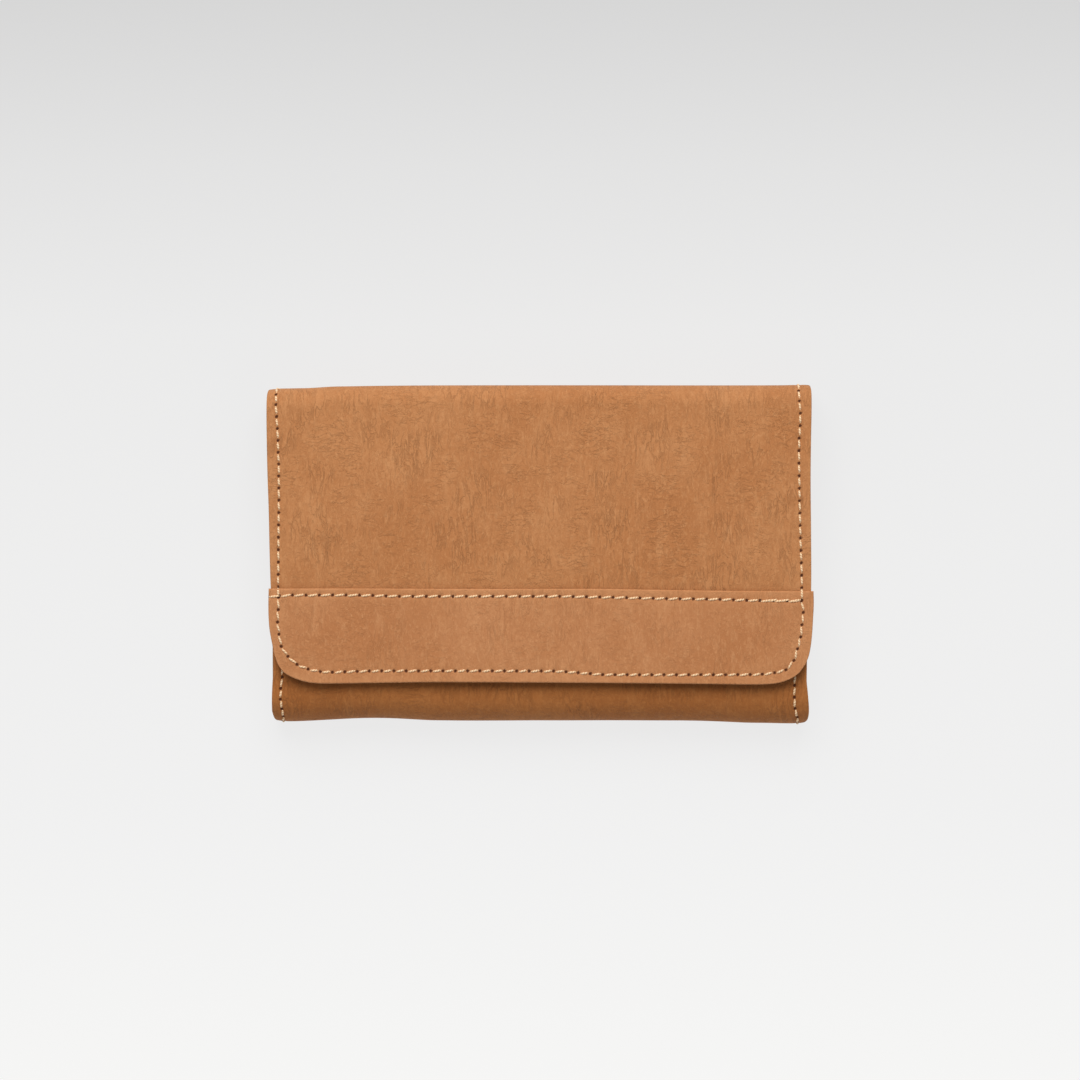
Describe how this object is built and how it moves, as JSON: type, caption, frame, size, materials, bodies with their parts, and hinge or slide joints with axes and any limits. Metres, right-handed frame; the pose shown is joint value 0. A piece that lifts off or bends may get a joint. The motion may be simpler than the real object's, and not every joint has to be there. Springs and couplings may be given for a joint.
{
  "type": "long wallet",
  "caption": "Long flap wallet in soft nubuck with a stitched band, magnetic snap, folding gussets, note compartments, card strips and a central zip pocket",
  "frame": {"origin": "centre of the footprint of the wallet lying on its back, on the surface it lies on", "axes": "+X to the right as the flap is seen, +Y to the top fold, +Z out of the flap's face"},
  "size_m": [0.1904, 0.1176, 0.026],
  "materials": {
    "shell_leather": "soft matt nubuck with fine creases",
    "band_leather": "soft matt nubuck with fine creases",
    "lining_leather": "smooth matt split leather",
    "card_leather": "matt leather with cut edges",
    "zip_tape": "woven tape",
    "zip_metal": "satin antique brass",
    "snap_metal": "satin antique brass",
    "thread": "twisted cream sewing thread"
  },
  "bodies": {
    "case": {"back_panel": "shell_leather", "back_lining": "lining_leather", "bottom_fold": "shell_leather", "bottom_fold_lining": "lining_leather", "gusset_rear_left": "lining_leather", "gusset_rear_right": "lining_leather", "gusset_front_left": "lining_leather", "gusset_front_right": "lining_leather"},
    "spine": {"spine": "shell_leather", "spine_lining": "lining_leather"},
    "flap": {"flap_panel": "shell_leather", "flap_lining": "lining_leather", "closure_band": "band_leather", "snap_socket": "snap_metal", "snap_socket_washer": "snap_metal", "flap_side_thread_left": "thread", "flap_side_thread_right": "thread", "band_edge_thread": "thread", "band_top_thread": "thread"},
    "front": {"front_panel": "shell_leather", "front_lining": "lining_leather", "snap_stud": "snap_metal", "snap_stud_washer": "snap_metal", "front_side_thread_left": "thread", "front_side_thread_right": "thread"},
    "purse": {"purse_rear_wall": "lining_leather", "purse_front_wall": "lining_leather", "card_strip_1": "card_leather", "card_strip_2": "card_leather", "card_strip_3": "card_leather", "zip_tape_rear": "zip_tape", "zip_tape_front": "zip_tape", "zip_teeth_rear": "zip_metal", "zip_teeth_front": "zip_metal", "zip_stop_left": "zip_metal", "zip_stop_right": "zip_metal"},
    "zip_slider": {"zip_slider": "zip_metal"},
    "zip_pull": {"zip_pull": "zip_metal"}
  },
  "joints": [
    {"name": "spine_fold", "type": "hinge", "parent": "case", "child": "spine", "pos_m": [0, 0.05675, 0.00205], "axis": [-1, 0, 0], "range_deg": [0, 90]},
    {"name": "flap_fold", "type": "hinge", "parent": "spine", "child": "flap", "pos_m": [0, 0.05675, 0.02235], "axis": [-1, 0, 0], "range_deg": [0, 88]},
    {"name": "front_spread", "type": "hinge", "parent": "case", "child": "front", "pos_m": [0, -0.05601, 0.01801], "axis": [1, 0, 0], "range_deg": [0, 19], "deforming": ["gusset_front_left", "gusset_front_right"]},
    {"name": "purse_spread", "type": "hinge", "parent": "case", "child": "purse", "pos_m": [0, -0.05601, 0.01801], "axis": [1, 0, 0], "range_deg": [0, 9.5], "deforming": ["gusset_rear_left", "gusset_rear_right"]},
    {"name": "zip_slide", "type": "slide", "parent": "purse", "child": "zip_slider", "axis": [-1, 0, 0], "range_m": [0, 0.15]},
    {"name": "zip_pull_swing", "type": "hinge", "parent": "zip_slider", "child": "zip_pull", "pos_m": [0.076, 0.0403, 0.0095], "axis": [0, 0, -1], "range_deg": [0, 180]}
  ],
  "couplings": [
    {"joint": "flap_fold", "follows": "spine_fold", "ratio": 0.97},
    {"joint": "front_spread", "follows": "spine_fold", "ratio": 0.2},
    {"joint": "purse_spread", "follows": "spine_fold", "ratio": 0.1}
  ]
}
